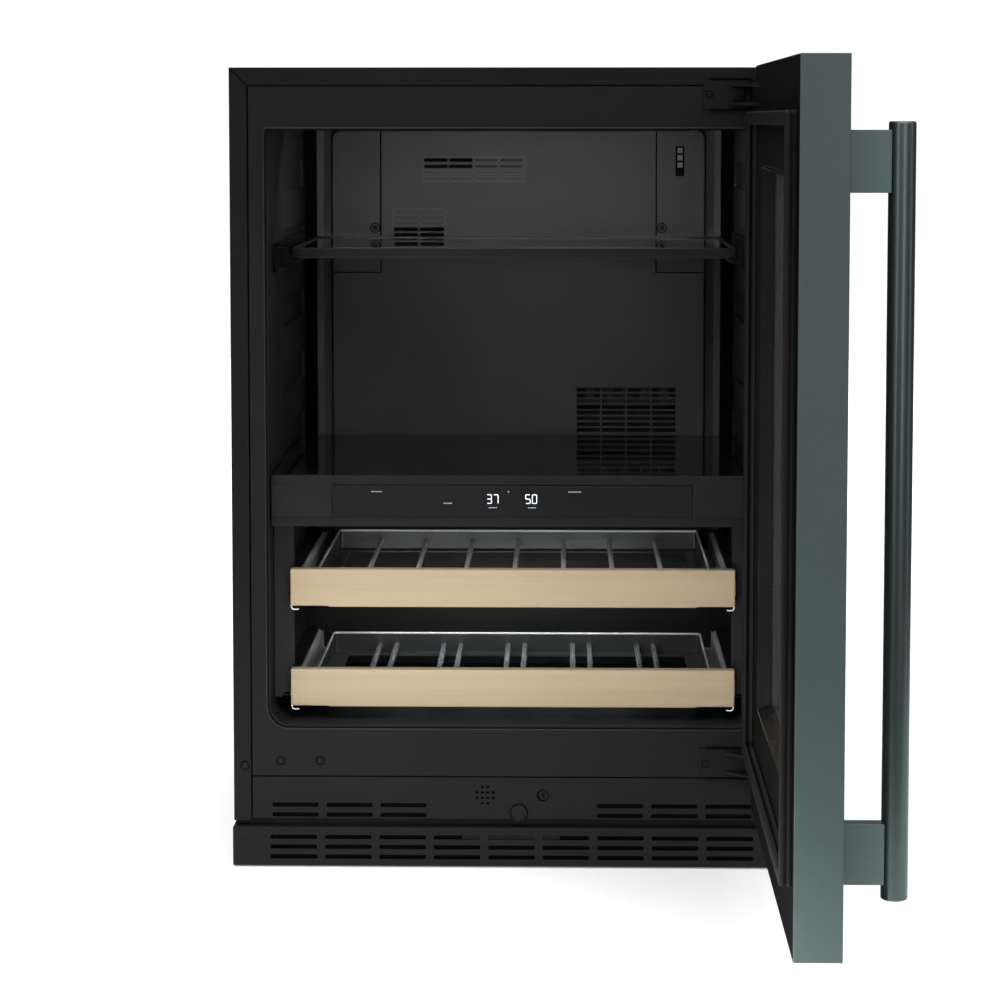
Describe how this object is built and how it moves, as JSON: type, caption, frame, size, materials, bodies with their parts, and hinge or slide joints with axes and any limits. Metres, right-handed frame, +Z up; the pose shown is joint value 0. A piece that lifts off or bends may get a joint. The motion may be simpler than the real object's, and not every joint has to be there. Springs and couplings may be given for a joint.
{
  "type": "undercounter wine cooler",
  "caption": "Undercounter wine cooler with a glass door on side hinges, a sliding glass shelf, a divider with a control panel and pull-out wood-front racks.",
  "frame": {"origin": "on the floor, under the middle of the whole object's box with the door open by a quarter turn", "axes": "+Z up; +Y from the door's opening to the cabinet's back; +X to the right as seen from the front, towards the door's hinges"},
  "size_m": [0.6671, 1.1598, 0.8685],
  "materials": {
    "wrapper_black": "satin",
    "frame_black": "satin",
    "liner_black": "satin",
    "cover_grey": "matte",
    "panel_gloss": "gloss",
    "plain_steel": "satin",
    "tray_steel": "satin",
    "fin_aluminium": "satin",
    "coil_copper": "satin",
    "compressor_black": "gloss",
    "foam": "matte",
    "seal_rubber": "matte",
    "maple_wood": "satin",
    "green_metal": "satin",
    "clear_glass": "gloss",
    "dark_glass": "gloss",
    "black_steel": "satin"
  },
  "bodies": {
    "cabinet": {"outer_wrapper": "wrapper_black", "rear_panel": "plain_steel", "machine_cover": "plain_steel", "power_inlet": "frame_black", "base_pan": "plain_steel", "inner_liner": "liner_black", "foam_insulation": "foam", "front_frame": "frame_black", "lower_panel": "frame_black", "toe_grille": "frame_black", "evaporator_cover": "cover_grey", "left_duct_cover": "cover_grey", "right_duct_cover": "cover_grey", "sensor_grille": "panel_gloss", "evaporator": "fin_aluminium", "evaporator_fan_motor": "frame_black", "compressor": "compressor_black", "condenser": "coil_copper", "condenser_fan_shroud": "frame_black", "drain_pan": "frame_black", "control_box": "cover_grey", "divider_body": "liner_black", "divider_glass": "dark_glass", "control_panel": "panel_gloss", "panel_bezel": "frame_black", "shelf_bracket_left": "liner_black", "shelf_bracket_right": "liner_black", "rack_support_left": "black_steel", "rack_support_right": "black_steel", "hinge_bracket_top": "black_steel", "hinge_bracket_bottom": "black_steel"},
    "door": {"door_skin": "green_metal", "door_core": "foam", "door_liner": "liner_black", "door_gasket": "seal_rubber", "window_outer_glass": "dark_glass", "window_inner_glass": "clear_glass", "window_spacer": "plain_steel", "handle_bar": "green_metal", "handle_post_top": "green_metal", "handle_post_bottom": "green_metal", "hinge_leaf_top": "plain_steel", "hinge_leaf_bottom": "plain_steel"},
    "upper_rack": {"upper_rack_tray": "tray_steel", "upper_rack_front": "maple_wood"},
    "upper_slides": {"upper_slide_left": "plain_steel", "upper_slide_right": "plain_steel"},
    "lower_rack": {"lower_rack_tray": "tray_steel", "lower_rack_front": "maple_wood"},
    "lower_slides": {"lower_slide_left": "plain_steel", "lower_slide_right": "plain_steel"},
    "shelf": {"shelf_frame": "cover_grey", "shelf_glass": "clear_glass"},
    "power_button": {"power_button": "panel_gloss"},
    "evaporator_fan": {"evaporator_fan_blade": "frame_black"},
    "condenser_fan": {"condenser_fan_blade": "frame_black"},
    "leg_front_left": {"leg_front_left": "frame_black"},
    "leg_front_right": {"leg_front_right": "frame_black"},
    "leg_rear_left": {"leg_rear_left": "frame_black"},
    "leg_rear_right": {"leg_rear_right": "frame_black"}
  },
  "joints": [
    {"name": "door_hinge", "type": "hinge", "parent": "cabinet", "child": "door", "pos_m": [0.2532, 0.00335, 0.469], "axis": [0, 0, 1], "range_deg": [-90, 25]},
    {"name": "upper_rack_slide", "type": "slide", "parent": "cabinet", "child": "upper_rack", "axis": [0, -1, 0], "range_m": [0, 0.33]},
    {"name": "upper_rail_slide", "type": "slide", "parent": "cabinet", "child": "upper_slides", "axis": [0, -1, 0], "range_m": [0, 0.165]},
    {"name": "lower_rack_slide", "type": "slide", "parent": "cabinet", "child": "lower_rack", "axis": [0, -1, 0], "range_m": [0, 0.27]},
    {"name": "lower_rail_slide", "type": "slide", "parent": "cabinet", "child": "lower_slides", "axis": [0, -1, 0], "range_m": [0, 0.135]},
    {"name": "shelf_slide", "type": "slide", "parent": "cabinet", "child": "shelf", "axis": [0, -1, 0], "range_m": [0, 0.22]},
    {"name": "power_button_press", "type": "slide", "parent": "cabinet", "child": "power_button", "axis": [0, 1, 0], "range_m": [0, 0.002], "stiffness_N_per_m": 500},
    {"name": "evaporator_fan_spin", "type": "hinge", "parent": "cabinet", "child": "evaporator_fan", "pos_m": [-0.085, 0.52685, 0.725], "axis": [0, 1, 0], "continuous": true},
    {"name": "condenser_fan_spin", "type": "hinge", "parent": "cabinet", "child": "condenser_fan", "pos_m": [-0.1685, 0.52385, 0.121], "axis": [1, 0, 0], "continuous": true},
    {"name": "leg_front_left_extend", "type": "slide", "parent": "cabinet", "child": "leg_front_left", "axis": [0, 0, -1], "range_m": [0, 0.022]},
    {"name": "leg_front_right_extend", "type": "slide", "parent": "cabinet", "child": "leg_front_right", "axis": [0, 0, -1], "range_m": [0, 0.022]},
    {"name": "leg_rear_left_extend", "type": "slide", "parent": "cabinet", "child": "leg_rear_left", "axis": [0, 0, -1], "range_m": [0, 0.022]},
    {"name": "leg_rear_right_extend", "type": "slide", "parent": "cabinet", "child": "leg_rear_right", "axis": [0, 0, -1], "range_m": [0, 0.022]}
  ],
  "couplings": [
    {"joint": "upper_rail_slide", "follows": "upper_rack_slide", "ratio": 0.5},
    {"joint": "lower_rail_slide", "follows": "lower_rack_slide", "ratio": 0.5}
  ]
}
